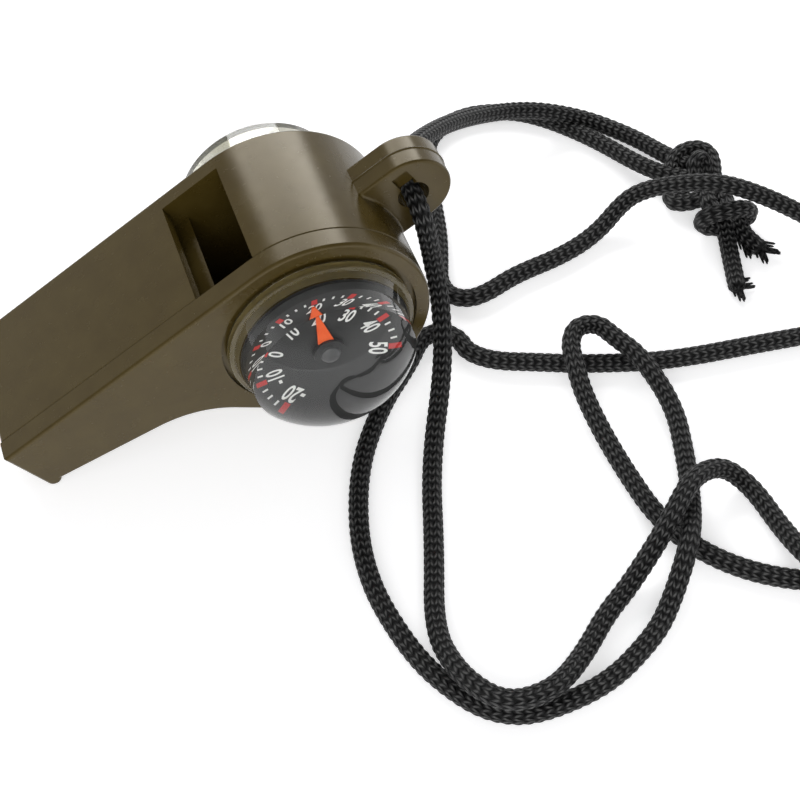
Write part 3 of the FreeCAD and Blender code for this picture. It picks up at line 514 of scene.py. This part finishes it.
def stitch_height(column, row):
    """Height of the braid's stitches, 0 in a gap to 1 on a strand, at a column and row of the weave"""
    across = abs(column % 1 - 0.5)
    ridge = math.sin(math.pi * ((row + STITCH_LEAN * across) % 1))
    return ridge ** (0.6 + 2.6 * (1 - 2 * across) ** 2) * math.sin(2 * math.pi * across) ** 0.3


def add_braid(bm, layer, line, radius, tip=1.0):
    """Tube of rings on a centre line, raised in stitches, with a UV map in columns and rows"""
    tangent = (line[1] - line[0]).normalized()
    side = tangent.orthogonal().normalized()
    rings = []
    rows = []
    row = 0.0
    for index, centre in enumerate(line):
        before = line[max(index - 1, 0)]
        after = line[min(index + 1, len(line) - 1)]
        if index:
            row += (centre - line[index - 1]).length / (STITCH_LENGTH * MM)
        tangent = (after - before).normalized()
        side = (side - tangent * side.dot(tangent)).normalized()
        other = tangent.cross(side)
        narrowed = radius * MM * (1 + (tip - 1) * index / (len(line) - 1))
        from_end = min(index, len(line) - 1 - index) * ROW_STEP / (ROUNDED_END * radius)
        if from_end < 1:
            narrowed *= max(NARROWEST_END, math.sqrt(1 - (1 - from_end) ** 2))
        ring = []
        for corner in range(ROUND_STEPS):
            share = corner / ROUND_STEPS
            swell = 1 + STITCH_SWELL * (2 * stitch_height(share * BRAID_COLUMNS, row) - 1)
            turn = 2 * math.pi * share
            ring.append(bm.verts.new(centre + (side * math.cos(turn) + other * math.sin(turn))
                                     * narrowed * swell))
        rings.append(ring)
        rows.append(row)
    for index in range(len(rings) - 1):
        for corner in range(ROUND_STEPS):
            following = (corner + 1) % ROUND_STEPS
            face = bm.faces.new((rings[index][corner], rings[index][following],
                                 rings[index + 1][following], rings[index + 1][corner]))
            face.smooth = True
            left = corner * BRAID_COLUMNS / ROUND_STEPS
            right = (corner + 1) * BRAID_COLUMNS / ROUND_STEPS
            for loop, weave in zip(face.loops, ((left, rows[index]), (right, rows[index]),
                                                (right, rows[index + 1]), (left, rows[index + 1]))):
                loop[layer].uv = weave
    for ring, flip in ((rings[0], True), (rings[-1], False)):
        face = bm.faces.new(ring[::-1] if flip else ring)
        for loop in face.loops:
            loop[layer].uv = GAP_UV


def braided_piece(name, lines, radius, tip=1.0):
    """Piece made of one or more braided tubes"""
    bm = bmesh.new()
    layer = bm.loops.layers.uv.new("weave")
    for line in lines:
        add_braid(bm, layer, line, radius, tip)
    return new_piece(name, bm, cord_black, "whistle")


cord_black, cord_shader = new_material("black braided cord")
weave_map = add_node(cord_black, "ShaderNodeUVMap", uv_map="weave")
split = add_node(cord_black, "ShaderNodeSeparateXYZ")
wire(cord_black, weave_map.outputs["UV"], split.inputs["Vector"])
column = math_node(cord_black, "FRACT", split.outputs["X"])
# Each column of the braid is a row of V stitches, whose two halves lean opposite ways
across = math_node(cord_black, "ABSOLUTE", math_node(cord_black, "SUBTRACT", column, 0.5))
lean = math_node(cord_black, "MULTIPLY", across, STITCH_LEAN)
stitch = math_node(cord_black, "FRACT", math_node(cord_black, "ADD", split.outputs["Y"], lean))
ridge = math_node(cord_black, "SINE", math_node(cord_black, "MULTIPLY", stitch, math.pi))
inward = math_node(cord_black, "MULTIPLY_ADD", across, -2.0, 1.0)
sharp = math_node(cord_black, "MULTIPLY_ADD", math_node(cord_black, "POWER", inward, 2.0), 2.6, 0.6)
ends = math_node(cord_black, "SINE", math_node(cord_black, "MULTIPLY", across, 2 * math.pi))
height = math_node(cord_black, "MULTIPLY", math_node(cord_black, "POWER", ridge, sharp),
                   math_node(cord_black, "POWER", ends, 0.3))
# Fine filaments run along each strand
filament = math_node(cord_black, "SINE", math_node(cord_black, "MULTIPLY", stitch, 10 * math.pi))
fibres = math_node(cord_black, "MULTIPLY_ADD", filament, 0.07, height)
# The colour ramp is darkest in the gaps between strands, as painted shade, and lightest on the strand crests,
# as painted highlight; the same height also drives the bump below
wire(cord_black, ramp(cord_black, height, (0.3, (0.0008, 0.0008, 0.0008)), (0.65, (0.016, 0.016, 0.0165)),
                      (0.95, (0.085, 0.085, 0.083))), cord_shader.inputs["Base Color"])
cord_shader.inputs["Roughness"].default_value = 0.45
cord_shader.inputs["Specular IOR Level"].default_value = 0.28
relief = add_node(cord_black, "ShaderNodeBump")
relief.inputs["Strength"].default_value = 0.9
relief.inputs["Distance"].default_value = 0.3 * MM
wire(cord_black, fibres, relief.inputs["Height"])
wire(cord_black, relief.outputs["Normal"], cord_shader.inputs["Normal"])

long_line, long_length = cord_line("long_side", LONG_ROUTE)
short_line, short_length = cord_line("short_side", SHORT_ROUTE)
long_cord = braided_piece("neck_cord_long_side", [long_line], CORD_RADIUS)
short_cord = braided_piece("neck_cord_short_side", [short_line], CORD_RADIUS)
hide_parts("neck_cord")
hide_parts("neck_cord_short")

# Knot: an overhand knot tied in both cords together and pulled tight. Its loops stand over each
# other, one turn wraps round the rest, and two cut tails with melted, frayed tips come out of it.
KNOT_LOOPS = [
    [(56.9, 8.2, 2.4), (57.9, 10.1, 2.8), (59.5, 11.3, 3.2), (61.4, 11.4, 3.5), (62.9, 10.7, 3.5),
     (63.6, 9.3, 3.2), (63.1, 7.5, 2.9), (62.2, 5.6, 2.7), (61.9, 3.3, 2.6)],
    [(59.5, 4.5, 2.4), (59.8, 6.5, 3.4), (60.3, 7.8, 4.2), (61.1, 8.3, 4.6), (61.8, 8.0, 4.3),
     (61.5, 6.9, 3.4), (60.9, 5.3, 2.4)],
    [(59.1, 6.3, 1.5), (57.1, 6.5, 1.4), (55.9, 5.9, 1.4), (55.6, 4.5, 1.5), (56.7, 3.4, 1.9),
     (58.4, 2.6, 2.6), (59.8, 2.7, 3.0)],
    [(60.5, 5.1, 2.8), (59.3, 2.0, 3.5), (58.9, -0.6, 3.6), (60.0, -2.1, 2.6)],
    [(62.8, 4.0, 2.6), (61.8, 1.4, 3.2), (61.1, -1.2, 3.3), (61.6, -2.9, 2.4)],
    [(60.5, -2.3, 1.3), (58.1, -1.8, 1.3), (56.9, -1.2, 2.6), (57.9, -1.9, 4.2), (60.0, -2.6, 4.9),
     (62.6, -2.4, 4.2), (64.3, -2.0, 2.6), (63.5, -2.1, 1.3), (60.5, -2.3, 1.3)],
]
TAIL_ROUTES = [
    [(60.5, -0.6, 2.4), (59.8, -3.9, 1.3), (58.3, -8.6, 1.2), (56.8, -13.5, 1.2)],
    [(62.2, -0.6, 2.4), (62.1, -3.5, 1.4), (62.3, -5.7, 1.2), (63.2, -8.2, 1.2)],
]
TUFTS = [
    [(61.9, -3.9, 1.0), (61.3, -6.3, 0.9), (61.0, -8.0, 0.8)],
    [(57.0, -12.2, 1.2), (58.1, -12.8, 1.1), (59.3, -12.7, 0.9)],
    [(62.8, -7.2, 1.2), (62.8, -8.5, 1.1), (62.6, -9.7, 0.9)],
    [(63.0, -7.4, 1.2), (64.1, -8.2, 1.2), (65.1, -8.8, 1.1)],
    [(56.9, -12.7, 1.2), (56.8, -13.8, 1.1), (56.6, -14.7, 1.0)],
]
FIBRES = 12
FIBRE_RADIUS = 0.21
FIBRE_TIP = 0.7
TUFT_ROOT = 0.8
TUFT_SPREAD = 0.85
GOLDEN_TURN = 2.4
REACH_TURN = 2.6

knot_lines = [cord_line("knot_loop", route)[0] for route in KNOT_LOOPS]
knot = braided_piece("cord_knot_loops", knot_lines, CORD_RADIUS)
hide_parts("cord_knot")
for number, route in enumerate(TAIL_ROUTES, start=1):
    tail = braided_piece("cord_tail_end_%d" % number, [cord_line("tail", route)[0]], CORD_RADIUS)
    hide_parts("cord_tail_%d" % number)
fray_lines = []
for tuft in TUFTS:
    root_x, root_y, root_z = tuft[0]
    for fibre in range(FIBRES):
        turn = GOLDEN_TURN * fibre
        ring = math.sqrt((fibre + 0.5) / FIBRES)
        reach = 0.75 + 0.25 * math.cos(REACH_TURN * fibre)
        route = []
        for share, (x, y, z) in zip((0.0, 0.55, 1.0), tuft):
            spread = (TUFT_ROOT + (TUFT_SPREAD - TUFT_ROOT) * share) * ring
            route.append((root_x + (x - root_x) * reach + spread * math.cos(turn),
                          root_y + (y - root_y) * reach + spread * math.sin(turn),
                          max(root_z + (z - root_z) * reach + spread * math.sin(3 * turn), 1.2 * FIBRE_RADIUS)))
        fray_lines.append(cord_line("fray", route)[0])
frays = braided_piece("cord_tail_frays", fray_lines, FIBRE_RADIUS, FIBRE_TIP)

# Ground, lights and camera: a white sheet lit softly by a window behind it, with a weak light in
# front. The backdrop is white at the horizon and darker overhead, which the domes mirror.
GROUND_SIZE = 2.4
PAPER_GLOW = 0.5
FILL = 0.32
CEILING = 0.2
CEILING_RISE = (0.2, 0.65)
LENS_LENGTH = 74.68
ground_mesh = bpy.data.meshes.new("ground")
sheet = bmesh.new()
bmesh.ops.create_grid(sheet, x_segments=1, y_segments=1, size=GROUND_SIZE / 2)
sheet.to_mesh(ground_mesh)
sheet.free()
ground = bpy.data.objects.new("ground", ground_mesh)
bpy.context.scene.collection.objects.link(ground)
paper, paper_shader = new_material("white paper")
paper_shader.inputs["Base Color"].default_value = (0.86, 0.86, 0.87, 1)
paper_shader.inputs["Roughness"].default_value = 0.9
paper_shader.inputs["Specular IOR Level"].default_value = 0.0


def seen_ray(material):
    """1 for rays that see the backdrop: from the camera, off a gloss or through a clear piece"""
    rays = add_node(material, "ShaderNodeLightPath").outputs
    looking_through = math_node(material, "MAXIMUM", rays["Is Glossy Ray"], rays["Is Transmission Ray"])
    return math_node(material, "MAXIMUM", rays["Is Camera Ray"], looking_through)


paper_shader.inputs["Emission Color"].default_value = (1, 1, 1, 1)
wire(paper, math_node(paper, "MULTIPLY", seen_ray(paper), PAPER_GLOW), paper_shader.inputs["Emission Strength"])
ground_mesh.materials.append(paper)

world = bpy.data.worlds.new("studio")
bpy.context.scene.world = world
world.use_nodes = True
world.node_tree.nodes.clear()
fill = add_node(world, "ShaderNodeBackground")
fill.inputs["Color"].default_value = (1, 1, 1, 1)
fill.inputs["Strength"].default_value = FILL
backdrop = add_node(world, "ShaderNodeBackground")
backdrop.inputs["Color"].default_value = (1, 1, 1, 1)
sky_split = add_node(world, "ShaderNodeSeparateXYZ")
wire(world, add_node(world, "ShaderNodeTexCoord").outputs["Generated"], sky_split.inputs[0])
dimmer = add_node(world, "ShaderNodeMapRange")
for socket, value in zip(("From Min", "From Max", "To Min", "To Max"), (*CEILING_RISE, 1.0, CEILING)):
    dimmer.inputs[socket].default_value = value
wire(world, sky_split.outputs["Z"], dimmer.inputs["Value"])
wire(world, dimmer.outputs[0], backdrop.inputs["Strength"])
choice = add_node(world, "ShaderNodeMixShader")
for source, socket in zip((seen_ray(world), fill.outputs[0], backdrop.outputs[0]), choice.inputs):
    wire(world, source, socket)
wire(world, choice.outputs[0], add_node(world, "ShaderNodeOutputWorld").inputs["Surface"])


def soft_light(name, place, target, size, power):
    """Rectangular area light that faces a point, its length level"""
    lamp = bpy.data.lights.new(name, "AREA")
    lamp.shape = "RECTANGLE"
    lamp.size, lamp.size_y = size
    lamp.energy = power
    holder = bpy.data.objects.new(name, lamp)
    bpy.context.scene.collection.objects.link(holder)
    holder.location = place
    holder.rotation_euler = (Vector(target) - Vector(place)).to_track_quat("-Z", "Y").to_euler()
    return holder


soft_light("window", (0.16, 0.66, 0.48), (0.16, 0.06, 0.0), (0.75, 0.34), 5.4)
soft_light("front", (-0.2, -0.6, 0.35), (0, 0, 0.01), (0.6, 0.6), 3.8).visible_glossy = False

CAMERA_PLACE = Vector((-0.0284, -0.1392, 0.1703))
CAMERA_TARGET = Vector((0.00867, -0.0135, 0.0))
CAMERA_ROLL = -3.826
camera_data = bpy.data.cameras.new("camera")
camera_data.lens = LENS_LENGTH
camera_data.sensor_width = 36.0
camera_data.clip_start = 0.01
camera = bpy.data.objects.new("camera", camera_data)
bpy.context.scene.collection.objects.link(camera)
aim = (CAMERA_TARGET - CAMERA_PLACE).to_track_quat("-Z", "Y").to_matrix().to_4x4()
camera.matrix_world = (Matrix.Translation(CAMERA_PLACE) @ aim
                       @ Matrix.Rotation(math.radians(CAMERA_ROLL), 4, "Z"))
bpy.context.scene.camera = camera
bpy.context.scene.view_settings.view_transform = "Standard"
